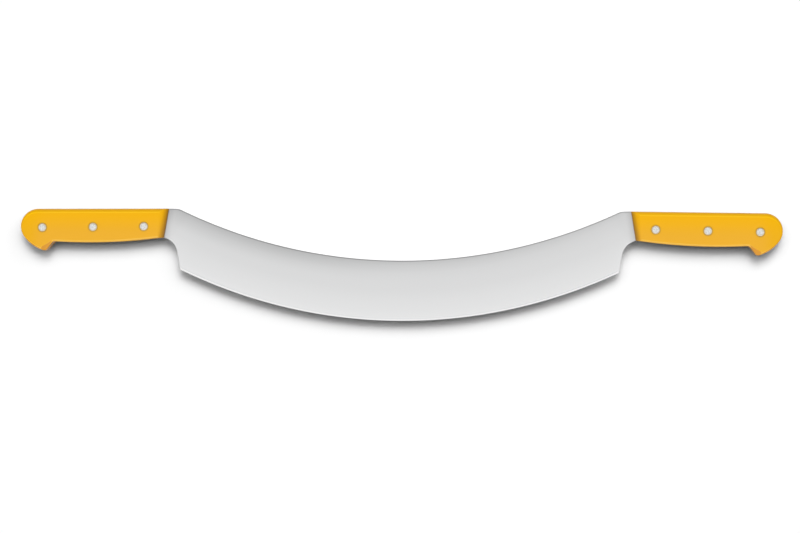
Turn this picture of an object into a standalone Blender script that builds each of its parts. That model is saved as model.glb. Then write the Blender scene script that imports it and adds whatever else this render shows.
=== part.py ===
"""Double-handled cheese knife: a long curved blade whose full tangs, one at each end, carry riveted grip scales.

Drawing frame, in metres: X runs along the knife, Y from the cutting edge up to the handles and Z through the
thickness. The edge's lowest point is at Y 0 and the blade's middle plane at Z 0. One root empty then moves the
whole knife, so that it lies on its back scales at Z 0 with its box centred on X 0 and Y 0.
"""

import math

import bmesh
import bpy
from mathutils import Matrix, Vector

# Blade outline
EDGE_CHORD = 0.400  # straight length of the cutting edge, heel corner to heel corner
EDGE_RADIUS = 0.465
SPINE_RADIUS = 0.466
BLADE_WIDTH = 0.0548  # spine to edge at the middle of the blade
SHOULDER_ROUND = 0.013
SHOULDER_TO_SCALE = 0.0058  # level stretch of the neck's top, from the shoulder's round to the scale
HEEL_TO_SCALE = 0.0106  # from the heel's corner to the scale's top corner, along the knife
HEEL_LEAN = math.radians(10.6)  # heel line off the square
HEEL_ROUND = 0.0006
NECK_SLOPE = math.radians(25.5)  # underside of the neck, where it leaves the handle
NECK_ROUND = 0.0145

# Blade section
TANG_THICKNESS = 0.0025
GRIND_OVER_SPINE = 0.002  # the flat grind starts this far above the spine, so it takes in the whole face
GRIND_FOOT_THICKNESS = 0.0006  # left by the flat grind, just above the cutting bevel
BEVEL_WIDTH = 0.0012
EDGE_THICKNESS = 0.00016
RUNOUT_LENGTH = 0.028  # over which the grind lifts off towards each handle
RICASSO = 0.003  # full thickness left between the grind and the scales

# Handle outline, measured from the top corner of the scale's front end
HANDLE_LENGTH = 0.136
HANDLE_DROOP = math.radians(0.42)
FRONT_SLANT = math.radians(9.75)  # of the front end, whose lower corner stands further out
BUTT_RADIUS = 0.0159
BUTT_LOW_RADIUS = 0.0343  # of the arc that goes on from there to the hook's tip
HOOK_TIP_AT = 0.0230  # distance of the hook's tip from the butt's end, along the knife
HOOK_DEPTH = 0.0092  # of its tip below the grip's lower line
HOOK_SLOPE = math.radians(54.0)
HOOK_TIP_ROUND = 0.0034
HOOK_ROOT_ROUND = 0.0045
GRIP_HEIGHT = 0.0308  # top to bottom at the grip's lowest point
GRIP_LOW_AT = 0.0768  # that point's distance from the front end
GRIP_RADIUS = 0.510

# Scale section: a rim rolls over from the side wall to the flat face
SCALE_THICKNESS = 0.0075
TOP_RIM_WIDTH = 0.0044
TOP_RIM_DROP = 0.0040
LOW_RIM_WIDTH = 0.0020
LOW_RIM_DROP = 0.0020
FRONT_RIM_TOP_WIDTH = 0.0084
FRONT_RIM_LOW_WIDTH = 0.0040
FRONT_RIM_DROP = 0.0045
FACET_DROP = 0.0030  # flat facet on the hook's front
FACET_SLOPE = math.radians(36.0)  # of its upper edge, seen from the front
FACET_BACK = math.radians(7.8)  # turn of the butt's lower arc between that edge's end and the hook's tip
FACET_TIP_ROUND = 0.0014
FACET_ROOT_ROUND = 0.0060
SEAT_GAP = 0.0003  # between a scale and the tang, and under a rivet head
FIT_GAP = 0.00025  # all round a rivet, in its bore

# Rivets: a headed pin from the front goes into a headed sleeve from the back
RIVET_POSITIONS = ("inner", "middle", "butt")
RIVET_FIRST_AT = 0.0221  # first rivet's distance from the front end
RIVET_LAST_AT = 0.0203  # last rivet's distance from the butt's end
RIVET_DEPTH = 0.0163  # first rivet's distance below the handle's top line
RIVET_LINE_DROOP = math.radians(0.92)
HEAD_RADIUS = 0.0037
HEAD_HEIGHT = 0.0018
HEAD_TAPER = 0.0006  # height of the cone under the sleeve's head
HEAD_CHAMFER = 0.0002
HEAD_RECESS = 0.00005  # heads lie this far below the scale's face
SLEEVE_RADIUS = 0.0025
SLEEVE_BORE_RADIUS = 0.0019
SLEEVE_FLOOR = 0.0030  # solid metal at the head end of the sleeve
PIN_RADIUS = SLEEVE_BORE_RADIUS - FIT_GAP
PIN_END_CHAMFER = 0.0004
PIN_END_ROOM = 0.0008  # left between the pin's end and the sleeve's floor

# How finely curves are cut
BLADE_STEPS = 48  # along each half of the spine and of the edge
SHOULDER_STEPS = 4
NECK_STEPS = 8
HEEL_STEPS = 2
BUTT_STEPS = 14
BUTT_LOW_STEPS = 6
HOOK_STEPS = 5
GRIP_STEPS = 10
RIM_STEPS = 4
RUNOUT_STEPS = 8
TURNED_STEPS = 24
CUT_PAST = 0.002  # how far a cutter runs past what it cuts

# Places that follow from the sizes
EDGE_CENTRE = Vector((0, EDGE_RADIUS))
SPINE_CENTRE = Vector((0, BLADE_WIDTH + SPINE_RADIUS))
FRONT_TOP_X = EDGE_CHORD / 2 + HEEL_TO_SCALE
SHOULDER_X = FRONT_TOP_X - SHOULDER_TO_SCALE
SHOULDER_Y = SPINE_CENTRE.y - math.sqrt((SPINE_RADIUS + SHOULDER_ROUND) ** 2 - SHOULDER_X**2)
NECK_TOP_Y = SHOULDER_Y + SHOULDER_ROUND
FRONT_TOP = Vector((FRONT_TOP_X, NECK_TOP_Y))
BUTT_END_X = FRONT_TOP_X + HANDLE_LENGTH
SCALE_Z = TANG_THICKNESS / 2 + SEAT_GAP
HEAD_Z = SCALE_Z + SCALE_THICKNESS - HEAD_RECESS


def direction(angle):
    """Unit vector at an angle from +X, turning towards +Y."""
    return Vector((math.cos(angle), math.sin(angle)))


def arc(centre, radius, start, end, steps):
    """Points along an arc, both ends included."""
    return [centre + radius * direction(start + (end - start) * i / steps) for i in range(steps + 1)]


def fillet(before, corner, after, radius, steps):
    """The arc that rounds a corner between two straight lines."""
    back = (before - corner).normalized()
    on = (after - corner).normalized()
    half_opening = back.angle(on) / 2
    centre = corner + (back + on).normalized() * radius / math.sin(half_opening)
    first = corner + back * radius / math.tan(half_opening) - centre
    last = corner + on * radius / math.tan(half_opening) - centre
    start = math.atan2(first.y, first.x)
    turn = math.remainder(math.atan2(last.y, last.x) - start, math.tau)
    return arc(centre, radius, start, start + turn, steps)


def smoothstep(t):
    t = min(1.0, max(0.0, t))
    return t * t * (3 - 2 * t)


def handle_top(x):
    """Height of the handle's top line."""
    return FRONT_TOP.y - (x - FRONT_TOP.x) * math.tan(HANDLE_DROOP)


def handle_bottom(x):
    """Height of the grip's long lower arc."""
    low_x = FRONT_TOP.x + GRIP_LOW_AT
    return handle_top(low_x) - GRIP_HEIGHT + GRIP_RADIUS - math.sqrt(GRIP_RADIUS**2 - (x - low_x) ** 2)


def front_low():
    """Lower corner of the scale's front end, on the slanted line down from the top corner."""
    x = FRONT_TOP.x + math.tan(FRONT_SLANT) * (FRONT_TOP.y - handle_bottom(FRONT_TOP.x))
    return Vector((x, handle_bottom(x)))


def butt_arcs():
    """The butt's two arcs, which touch where they meet: their centres, and the turns below the level where they
    meet and where the lower one reaches the hook's tip."""
    upper_x = BUTT_END_X - BUTT_RADIUS
    upper = Vector((upper_x, handle_top(upper_x) - BUTT_RADIUS / math.cos(HANDLE_DROOP)))
    tip_x = BUTT_END_X - HOOK_TIP_AT
    tip = Vector((tip_x, handle_bottom(tip_x) - HOOK_DEPTH))
    to_tip = tip - upper
    apart = BUTT_LOW_RADIUS - BUTT_RADIUS
    spread = math.acos((apart**2 + to_tip.length_squared - BUTT_LOW_RADIUS**2) / (2 * apart * to_tip.length))
    meeting_turn = spread - math.pi - math.atan2(to_tip.y, to_tip.x)
    lower = upper - apart * direction(-meeting_turn)
    tip_turn = -math.atan2(tip.y - lower.y, tip.x - lower.x)
    return upper, lower, meeting_turn, tip_turn


def handle_loop(first, last, top_in, low_in, tip_back, hook_slope, tip_round, root_round):
    """Right handle's outline, or the line its face ends on: from the front end's top corner round the butt and
    the hook to its lower corner. The top and low insets move it in from the outline, and the tip's set-back is a
    turn of the butt's lower arc."""
    butt, low, meeting_turn, tip_turn = butt_arcs()
    upper = arc(butt, BUTT_RADIUS, math.pi / 2 - HANDLE_DROOP, -meeting_turn, BUTT_STEPS)
    for i, point in enumerate(upper):
        inset = top_in + (low_in - top_in) * smoothstep(i / BUTT_STEPS)
        upper[i] = point + (butt - point).normalized() * inset
    lower = arc(low, BUTT_LOW_RADIUS - low_in, -meeting_turn, tip_back - tip_turn, BUTT_LOW_STEPS)

    tip = lower[-1]
    reach = (handle_bottom(tip.x) + low_in - tip.y) / math.sin(hook_slope)
    root = tip - reach * direction(-hook_slope)
    root.y = handle_bottom(root.x) + low_in
    grip = [root.lerp(last, i / GRIP_STEPS) for i in range(1, GRIP_STEPS + 1)]
    for point in grip:
        point.y = handle_bottom(point.x) + low_in
    tip_arc = fillet(lower[-2], tip, root, tip_round, HOOK_STEPS)
    root_arc = fillet(tip, root, grip[0], root_round, HOOK_STEPS)
    return [first] + upper + lower[1:-1] + tip_arc + root_arc + grip


def handle_outline():
    return handle_loop(FRONT_TOP.copy(), front_low(), 0, 0, 0, HOOK_SLOPE, HOOK_TIP_ROUND, HOOK_ROOT_ROUND)


def face_outline():
    """Where the scale's rim ends and its flat face begins, point for point beside the outline."""
    first_x = FRONT_TOP.x + FRONT_RIM_TOP_WIDTH
    last_x = front_low().x + FRONT_RIM_LOW_WIDTH
    first = Vector((first_x, handle_top(first_x) - TOP_RIM_WIDTH))
    last = Vector((last_x, handle_bottom(last_x) + LOW_RIM_WIDTH))
    return handle_loop(
        first, last, TOP_RIM_WIDTH, LOW_RIM_WIDTH, FACET_BACK, FACET_SLOPE, FACET_TIP_ROUND, FACET_ROOT_ROUND
    )


def rim_drops():
    """For each point of the outline: how far the rim drops below the face there, and how flat it is from 0 to 1."""
    butt = [TOP_RIM_DROP + (LOW_RIM_DROP - TOP_RIM_DROP) * smoothstep(i / BUTT_STEPS) for i in range(BUTT_STEPS + 1)]
    turning = [smoothstep(i / HOOK_STEPS) for i in range(HOOK_STEPS + 1)]
    hook = turning + turning[::-1]
    drops = [(FRONT_RIM_DROP, 0.0)] + [(drop, 0.0) for drop in butt] + [(LOW_RIM_DROP, 0.0)] * (BUTT_LOW_STEPS - 1)
    drops += [(LOW_RIM_DROP + (FACET_DROP - LOW_RIM_DROP) * share, share) for share in hook]
    return drops + [(LOW_RIM_DROP, 0.0)] * GRIP_STEPS


def blade_outline():
    """Blade and tangs in one closed outline: the right half, then its mirror image."""
    shoulder = Vector((SHOULDER_X, SHOULDER_Y))
    spine_end = math.atan2(shoulder.y - SPINE_CENTRE.y, shoulder.x)
    spine = arc(SPINE_CENTRE, SPINE_RADIUS, -math.pi / 2, spine_end, BLADE_STEPS)
    shoulder_arc = arc(shoulder, SHOULDER_ROUND, spine_end + math.pi, math.pi / 2, SHOULDER_STEPS)

    handle = handle_outline()
    heel_bearing = math.asin(EDGE_CHORD / 2 / EDGE_RADIUS) - math.pi / 2
    edge = arc(EDGE_CENTRE, EDGE_RADIUS, heel_bearing, -math.pi / 2, BLADE_STEPS)
    heel = edge[0]
    up_heel = direction(math.pi / 2 - HEEL_LEAN)
    along_neck = direction(NECK_SLOPE)
    climb = (handle[-1] - heel).cross(along_neck) / up_heel.cross(along_neck)
    neck_corner = heel + up_heel * climb
    neck_arc = fillet(handle[-1], neck_corner, heel, NECK_ROUND, NECK_STEPS)
    heel_arc = fillet(neck_corner, heel, edge[1], HEEL_ROUND, HEEL_STEPS)

    right = spine + shoulder_arc[1:] + handle + neck_arc + heel_arc + edge[1:]
    left = [Vector((-point.x, point.y)) for point in reversed(right[1:-1])]
    return right + left


def link(obj, collection, parent=None):
    collection.objects.link(obj)
    obj.parent = parent
    return obj


def evaluated_mesh(obj):
    bpy.context.view_layer.update()
    return bpy.data.meshes.new_from_object(obj.evaluated_get(bpy.context.evaluated_depsgraph_get()))


def plate_mesh(name, outline, thickness):
    """A flat plate with this outline, half of its thickness above Z 0 and half below."""
    curve = bpy.data.curves.new(name, "CURVE")
    curve.dimensions = "2D"
    curve.fill_mode = "BOTH"
    curve.extrude = thickness / 2
    spline = curve.splines.new("POLY")
    spline.points.add(len(outline) - 1)
    for slot, point in zip(spline.points, outline):
        slot.co = (point.x, point.y, 0, 1)
    spline.use_cyclic_u = True
    holder = link(bpy.data.objects.new(name + "_curve", curve), bpy.context.scene.collection)
    mesh = evaluated_mesh(holder)
    mesh.name = name
    bpy.data.objects.remove(holder)
    bm = bmesh.new()
    bm.from_mesh(mesh)
    bmesh.ops.remove_doubles(bm, verts=bm.verts, dist=1e-6)
    bmesh.ops.dissolve_limit(bm, angle_limit=math.radians(0.1), verts=bm.verts, edges=bm.edges)
    bm.to_mesh(mesh)
    bm.free()
    return mesh


def turned_mesh(name, profile):
    """A turned solid: the profile runs down its outer side, and both its ends lie on the Z axis."""
    line = bpy.data.meshes.new(name + "_profile")
    line.from_pydata([(r, 0, z) for r, z in profile], [(i, i + 1) for i in range(len(profile) - 1)], [])
    holder = link(bpy.data.objects.new(name + "_profile", line), bpy.context.scene.collection)
    screw = holder.modifiers.new("turn", "SCREW")
    screw.steps = screw.render_steps = TURNED_STEPS
    screw.use_merge_vertices = True
    screw.merge_threshold = 1e-6
    mesh = evaluated_mesh(holder)
    mesh.name = name
    bpy.data.objects.remove(holder)
    bpy.data.meshes.remove(line)
    return mesh


def soften(mesh):
    """Smooth shading, kept sharp at real edges."""
    mesh.shade_smooth()
    mesh.set_sharp_from_angle(angle=math.radians(30))


def cut(obj, cutter):
    boolean = obj.modifiers.new("cut_" + cutter.name, "BOOLEAN")
    boolean.operation = "DIFFERENCE"
    boolean.object = cutter


def cutter_object(name, mesh, cutters, parent=None):
    cutter = link(bpy.data.objects.new(name, mesh), cutters, parent)
    cutter.hide_render = True
    cutter.display_type = "WIRE"
    return cutter


def rivet_places():
    """Centres of the right handle's rivets in the drawing frame, inner one first."""
    first_x = FRONT_TOP.x + RIVET_FIRST_AT
    first = Vector((first_x, handle_top(first_x) - RIVET_DEPTH))
    run = HANDLE_LENGTH - RIVET_FIRST_AT - RIVET_LAST_AT
    last = first + Vector((run, -run * math.tan(RIVET_LINE_DROOP)))
    gaps = len(RIVET_POSITIONS) - 1
    return [first.lerp(last, i / gaps) for i in range(gaps + 1)]


def grind_mesh(name, facing):
    """What the wheel takes off one face: a ring sector about the edge's centre, its underside the ground face.
    Towards both handles that underside lifts off, clear of the metal."""
    face = TANG_THICKNESS / 2
    profile = [
        (EDGE_RADIUS - BLADE_WIDTH - GRIND_OVER_SPINE, face),
        (EDGE_RADIUS - BEVEL_WIDTH, GRIND_FOOT_THICKNESS / 2),
        (EDGE_RADIUS, EDGE_THICKNESS / 2),
        (EDGE_RADIUS + CUT_PAST, EDGE_THICKNESS / 2),
    ]
    from_centre = front_low() - EDGE_CENTRE
    lift_end = math.atan2(from_centre.x, -from_centre.y) - RICASSO / EDGE_RADIUS
    runout = RUNOUT_LENGTH / EDGE_RADIUS
    centre = EDGE_CENTRE.to_3d()
    first = direction(-math.pi / 2 - lift_end).to_3d()

    bm = bmesh.new()
    verts = [bm.verts.new(centre + first * r + Vector((0, 0, z))) for r, z in profile]
    line = verts + [bm.edges.new(pair) for pair in zip(verts, verts[1:])]
    for angle, steps in (
        (runout, RUNOUT_STEPS),
        (2 * (lift_end - runout), 2 * BLADE_STEPS),
        (runout, RUNOUT_STEPS),
    ):
        line = bmesh.ops.spin(bm, geom=line, cent=centre, axis=(0, 0, 1), angle=angle, steps=steps)["geom_last"]
    clear = face + EDGE_THICKNESS
    for vert in bm.verts:
        bearing = abs(math.atan2(vert.co.x, EDGE_CENTRE.y - vert.co.y))
        vert.co.z += (clear - vert.co.z) * max(0, (bearing - lift_end) / runout + 1) ** 2
    extruded = bmesh.ops.extrude_face_region(bm, geom=bm.faces[:])["geom"]
    for vert in (item for item in extruded if isinstance(item, bmesh.types.BMVert)):
        vert.co.z = face + CUT_PAST
    for vert in bm.verts:
        vert.co.z *= facing
    bmesh.ops.recalc_face_normals(bm, faces=bm.faces)
    mesh = bpy.data.meshes.new(name)
    bm.to_mesh(mesh)
    bm.free()
    return mesh


def tang_hole_mesh():
    bm = bmesh.new()
    radius = SLEEVE_RADIUS + FIT_GAP
    depth = TANG_THICKNESS + 2 * CUT_PAST
    bmesh.ops.create_cone(bm, cap_ends=True, segments=TURNED_STEPS, radius1=radius, radius2=radius, depth=depth)
    mesh = bpy.data.meshes.new("tang_hole")
    bm.to_mesh(mesh)
    bm.free()
    return mesh


def make_blade(parts, cutters, root, steel):
    mesh = plate_mesh("blade", blade_outline(), TANG_THICKNESS)
    soften(mesh)
    mesh.materials.append(steel)
    blade = link(bpy.data.objects.new("blade", mesh), parts, root)
    for name, facing in (("grind_front", 1), ("grind_back", -1)):
        cut(blade, cutter_object(name, grind_mesh(name, facing), cutters, root))
    hole = tang_hole_mesh()
    for side, hand in ((-1, "left"), (1, "right")):
        for number, place in enumerate(rivet_places(), 1):
            cutter = cutter_object(f"tang_hole_{hand}_{number}", hole, cutters, root)
            cutter.location = (side * place.x, place.y, 0)
            cut(blade, cutter)


def rivet_bore_mesh():
    """The stepped bore through a scale, with Z 0 at the scale's inner face."""
    pocket = SCALE_THICKNESS - HEAD_RECESS - HEAD_HEIGHT - SEAT_GAP
    head_bore = HEAD_RADIUS + FIT_GAP
    sleeve_bore = SLEEVE_RADIUS + FIT_GAP
    profile = [
        (0, SCALE_THICKNESS + CUT_PAST),
        (head_bore, SCALE_THICKNESS + CUT_PAST),
        (head_bore, pocket),
        (sleeve_bore, pocket - HEAD_TAPER),
        (sleeve_bore, -CUT_PAST),
        (0, -CUT_PAST),
    ]
    return turned_mesh("rivet_bore", profile)


def scale_body_mesh(name):
    """A right-hand scale before it is bored: its seat at Z 0, its side wall, its rolled rim and its flat face."""
    outline = handle_outline()
    face = face_outline()
    rings = [[point.to_3d() for point in outline]]
    for step in range(RIM_STEPS + 1):
        angle = math.pi / 2 * step / RIM_STEPS
        ring = []
        for outer, inner, (drop, flatness) in zip(outline, face, rim_drops()):
            inward = 1 - math.cos(angle) + flatness * (step / RIM_STEPS - 1 + math.cos(angle))
            upward = math.sin(angle) + flatness * (step / RIM_STEPS - math.sin(angle))
            place = outer.lerp(inner, inward)
            ring.append(Vector((place.x, place.y, SCALE_THICKNESS - drop * (1 - upward))))
        rings.append(ring)

    bm = bmesh.new()
    loops = [[bm.verts.new(point) for point in ring] for ring in rings]
    for below, above in zip(loops, loops[1:]):
        for i, vert in enumerate(below):
            bm.faces.new((below[i - 1], vert, above[i], above[i - 1]))
    bm.faces.new(loops[0])
    bm.faces.new(loops[-1])
    bmesh.ops.recalc_face_normals(bm, faces=bm.faces)
    mesh = bpy.data.meshes.new(name)
    bm.to_mesh(mesh)
    bm.free()
    return mesh


def scale_mesh(parts, cutters):
    """A finished right-hand scale."""
    body_mesh = scale_body_mesh("scale_body")
    body = link(bpy.data.objects.new("scale_body", body_mesh), parts)
    bore = rivet_bore_mesh()
    bores = []
    for number, place in enumerate(rivet_places(), 1):
        cutter = cutter_object(f"scale_bore_{number}", bore, cutters)
        cutter.location = (place.x, place.y, 0)
        cut(body, cutter)
        bores.append(cutter)
    mesh = evaluated_mesh(body)
    mesh.name = "right_hand_scale"
    for obj in [body] + bores:
        bpy.data.objects.remove(obj)
    for used in (body_mesh, bore):
        bpy.data.meshes.remove(used)
    soften(mesh)
    return mesh


def make_scales(parts, cutters, root, plastic):
    """Four scales from two mouldings: one handle's front scale, turned half round about Y, is the other's back."""
    right_hand = scale_mesh(parts, cutters)
    right_hand.materials.clear()
    right_hand.materials.append(plastic)
    left_hand = right_hand.copy()
    left_hand.name = "left_hand_scale"
    left_hand.transform(Matrix.Scale(-1, 4, (1, 0, 0)))
    left_hand.flip_normals()
    for name, mesh, facing in (
        ("right_front_scale", right_hand, 1),
        ("left_back_scale", right_hand, -1),
        ("left_front_scale", left_hand, 1),
        ("right_back_scale", left_hand, -1),
    ):
        scale = link(bpy.data.objects.new(name, mesh), parts, root)
        scale.location.z = facing * SCALE_Z
        scale.rotation_euler.y = 0 if facing > 0 else math.pi


def head_profile():
    """The head's outer side, from the axis at its face down to its underside."""
    return [(0, 0), (HEAD_RADIUS - HEAD_CHAMFER, 0), (HEAD_RADIUS, -HEAD_CHAMFER), (HEAD_RADIUS, -HEAD_HEIGHT)]


def pin_profile():
    length = 2 * HEAD_Z - SLEEVE_FLOOR - PIN_END_ROOM
    return head_profile() + [
        (PIN_RADIUS, -HEAD_HEIGHT),
        (PIN_RADIUS, -length + PIN_END_CHAMFER),
        (PIN_RADIUS - PIN_END_CHAMFER, -length),
        (0, -length),
    ]


def sleeve_profile():
    length = 2 * HEAD_Z - HEAD_HEIGHT - SEAT_GAP
    return head_profile() + [
        (SLEEVE_RADIUS, -HEAD_HEIGHT - HEAD_TAPER),
        (SLEEVE_RADIUS, -length),
        (SLEEVE_BORE_RADIUS, -length),
        (SLEEVE_BORE_RADIUS, -SLEEVE_FLOOR),
        (0, -SLEEVE_FLOOR),
    ]


def make_rivets(parts, root, metal):
    pin = turned_mesh("rivet_pin", pin_profile())
    sleeve = turned_mesh("rivet_sleeve", sleeve_profile())
    for mesh in (pin, sleeve):
        soften(mesh)
        mesh.materials.append(metal)
    for side, hand in ((-1, "left"), (1, "right")):
        for place, position in zip(rivet_places(), RIVET_POSITIONS):
            for mesh, kind, facing in ((pin, "pin", 1), (sleeve, "sleeve", -1)):
                rivet = link(bpy.data.objects.new(f"{hand}_{position}_rivet_{kind}", mesh), parts, root)
                rivet.location = (side * place.x, place.y, facing * HEAD_Z)
                rivet.rotation_euler.y = 0 if facing > 0 else math.pi


def material(name, colour, metallic, roughness):
    made = bpy.data.materials.new(name)
    made.use_nodes = True
    shader = made.node_tree.nodes["Principled BSDF"]
    shader.inputs["Base Color"].default_value = (*colour, 1)
    shader.inputs["Metallic"].default_value = metallic
    shader.inputs["Roughness"].default_value = roughness
    return made


def main():
    for obj in list(bpy.data.objects):
        bpy.data.objects.remove(obj)
    parts = bpy.data.collections.new("double_handled_cheese_knife")
    cutters = bpy.data.collections.new("cutters")
    for collection in (parts, cutters):
        bpy.context.scene.collection.children.link(collection)
    root = link(bpy.data.objects.new("knife", None), parts)

    steel = material("satin_steel", (0.62, 0.63, 0.64), 1.0, 0.35)
    plastic = material("yellow_plastic", (0.88, 0.42, 0.03), 0.0, 0.35)
    metal = material("rivet_metal", (0.78, 0.78, 0.79), 1.0, 0.25)

    make_blade(parts, cutters, root, steel)
    make_scales(parts, cutters, root, plastic)
    make_rivets(parts, root, metal)
    root.location = (0, -NECK_TOP_Y / 2, SCALE_Z + SCALE_THICKNESS)


main()
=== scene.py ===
import math

import bmesh
import bpy
from mathutils import Matrix, Vector
from mathutils.kdtree import KDTree


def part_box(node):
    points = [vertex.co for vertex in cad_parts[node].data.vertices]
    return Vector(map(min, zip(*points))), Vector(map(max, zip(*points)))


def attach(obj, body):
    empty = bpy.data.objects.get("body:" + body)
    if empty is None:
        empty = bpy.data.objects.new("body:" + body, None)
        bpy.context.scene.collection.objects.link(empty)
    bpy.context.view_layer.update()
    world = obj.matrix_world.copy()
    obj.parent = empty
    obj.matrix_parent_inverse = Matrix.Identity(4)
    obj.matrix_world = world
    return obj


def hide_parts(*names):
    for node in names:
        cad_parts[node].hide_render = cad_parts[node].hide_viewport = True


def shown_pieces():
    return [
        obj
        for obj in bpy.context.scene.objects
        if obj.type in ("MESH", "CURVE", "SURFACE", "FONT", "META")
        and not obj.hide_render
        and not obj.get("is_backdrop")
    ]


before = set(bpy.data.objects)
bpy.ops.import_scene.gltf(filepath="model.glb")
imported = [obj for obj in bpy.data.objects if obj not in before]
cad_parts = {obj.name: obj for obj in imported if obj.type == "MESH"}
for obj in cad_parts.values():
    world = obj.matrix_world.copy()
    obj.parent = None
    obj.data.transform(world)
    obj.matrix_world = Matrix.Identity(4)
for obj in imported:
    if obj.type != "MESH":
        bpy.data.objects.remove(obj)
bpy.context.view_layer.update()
bladeLow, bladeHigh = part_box("blade")
middleZ = (bladeLow.z + bladeHigh.z) / 2  # the blade's middle plane
print("frame loaded:", len(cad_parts), "nodes")


# modelling

def deselectAll():
    bpy.ops.object.select_all(action="DESELECT")


def selectOnly(piece):
    deselectAll()
    piece.select_set(True)
    bpy.context.view_layer.objects.active = piece


def editMode(piece):
    selectOnly(piece)
    bpy.ops.object.mode_set(mode="EDIT")


def objectMode():
    bpy.ops.object.mode_set(mode="OBJECT")


def added(name):  # the primitive just made
    piece = bpy.context.object
    piece.name = piece.data.name = name
    return piece


def extrudeTo(piece, old, new):  # extrudes what is selected, and takes the points at old to new
    bpy.ops.mesh.extrude_region_move()
    mesh = bmesh.from_edit_mesh(piece.data)
    nearest = KDTree(len(old))
    for i, place in enumerate(old):
        nearest.insert(place, i)
    nearest.balance()
    for vert in mesh.verts:
        if vert.select:
            vert.co = new[nearest.find(vert.co)[1]]
    bmesh.update_edit_mesh(piece.data)


def facesOut():
    bpy.ops.mesh.select_all(action="SELECT")
    bpy.ops.mesh.normals_make_consistent(inside=False)
    objectMode()


def drawnUp(name, rings):  # a filled circle, set on the first ring and extruded through the others
    deselectAll()
    bpy.ops.mesh.primitive_circle_add(vertices=len(rings[0]), radius=0.01, fill_type="NGON")
    piece = added(name)
    for vert, place in zip(piece.data.vertices, rings[0]):
        vert.co = place
    editMode(piece)
    bpy.ops.mesh.select_all(action="SELECT")
    for old, new in zip(rings, rings[1:]):
        extrudeTo(piece, old, new)
    facesOut()
    return piece


def applied(piece, kind, **settings):
    selectOnly(piece)
    modifier = piece.modifiers.new(kind.lower(), kind)
    for name, value in settings.items():
        setattr(modifier, name, value)
    bpy.ops.object.modifier_apply(modifier=modifier.name)


def cutWith(piece, cutters):
    for cutter in cutters:
        applied(piece, "BOOLEAN", operation="DIFFERENCE", solver="EXACT", object=cutter)
    for cutter in cutters:
        bpy.data.objects.remove(cutter)


def settled(piece):  # bakes place, turn and size into the mesh
    selectOnly(piece)
    bpy.ops.object.transform_apply(location=True, rotation=True, scale=True)
    editMode(piece)
    facesOut()
    return piece


def copied(piece, name, turn=(0, 0, 0), mirror=1, place=(0, 0, 0)):
    copy = bpy.data.objects.new(name, piece.data.copy())
    copy.data.name = name
    bpy.context.scene.collection.objects.link(copy)
    copy.location, copy.rotation_euler, copy.scale = place, turn, (mirror, 1, 1)
    return settled(copy)


def smoothed(piece, angle):
    selectOnly(piece)
    bpy.ops.object.shade_smooth_by_angle(angle=math.radians(angle))


def fitted(piece, node, slot):  # the piece stands for its CAD node
    piece.data.materials.clear()
    piece.data.materials.append(finishes[slot])
    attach(piece, "root")
    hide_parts(node)


# outlines

def direction(angle):
    return Vector((math.cos(angle), math.sin(angle)))


def raised(place, z):
    return Vector((place.x, place.y, z))


def mirrored(points):
    return [Vector((-point.x, point.y)) for point in points]


def eased(share):
    share = min(1.0, max(0.0, share))
    return share * share * (3 - 2 * share)


def linePoints(start, end, steps):
    return [start.lerp(end, i / steps) for i in range(steps + 1)]


def arcPoints(centre, radius, start, end, steps):
    return [centre + radius * direction(start + (end - start) * i / steps) for i in range(steps + 1)]


def roundedCorner(before, corner, after, radius, steps):
    back, on = (before - corner).normalized(), (after - corner).normalized()
    half = back.angle(on) / 2
    centre = corner + (back + on).normalized() * radius / math.sin(half)
    first = corner + back * radius / math.tan(half) - centre
    last = corner + on * radius / math.tan(half) - centre
    start = math.atan2(first.y, first.x)
    turn = math.remainder(math.atan2(last.y, last.x) - start, math.tau)
    return arcPoints(centre, radius, start, start + turn, steps)


# the handle's outline, which the tang and the scales share

handle = {
    "length": 0.136, "droop": 0.42, "frontSlant": 9.75, "buttRadius": 0.0159, "buttLowRadius": 0.0343,
    "hookTipAt": 0.0230, "hookDepth": 0.0092, "hookSlope": 54.0,
    "hookTipRound": 0.0034, "hookRootRound": 0.0045,
    "gripHeight": 0.0308, "gripLowAt": 0.0768, "gripRadius": 0.510,
}

blade = {
    "edgeChord": 0.400, "edgeRadius": 0.465, "spineRadius": 0.466, "middleWidth": 0.0548,
    "shoulderRound": 0.013, "shoulderToScale": 0.0058, "heelToScale": 0.0106,
    "heelLean": 10.6, "heelRound": 0.0006, "neckSlope": 25.5, "neckRound": 0.0145,
    "thickness": 0.0025, "grindOverSpine": 0.002, "footThickness": 0.0006, "bevelWidth": 0.0012,
    "edgeThickness": 0.00016, "runout": 0.028, "ricasso": 0.003,
    "easedSpine": 0.0012, "easedHeel": 0.0005, "easedNeck": 0.0011, "easedTang": 0.0001, "easedEdge": 0.00003,
    "easingDepth": 0.45, "deepestEasing": 0.9,  # shares of its width, and of the half thickness
    "edgeFrom": 0.0012, "edgeOver": 0.0008, "tangFrom": 0.002, "tangOver": 0.004,  # where its width changes
    "neckAboveHeel": 0.014,
    "rows": 14, "edgeSteps": 90, "heelSteps": 3, "heelLineSteps": 9, "neckSteps": 14,
    "gripSteps": 24, "hookSteps": 6, "buttSteps": 10, "buttUpSteps": 6, "easedSteps": 4,
    "denseSteps": (900, 80, 60, 700, 120),  # along the spine, shoulder, neck, handle's top and butt
    "buttSpan": (-20, 25), "rootPairedAt": 0.0311, "tipPairedAt": 0.0201,
    "sharpestCorner": 0.3, "widestBevel": 0.3,  # least cosine at a corner, and greatest share of the width
    "mirrorMerge": 1e-6, "holeSides": 48, "holeDepth": 0.01, "smoothAngle": 35,
}

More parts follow.
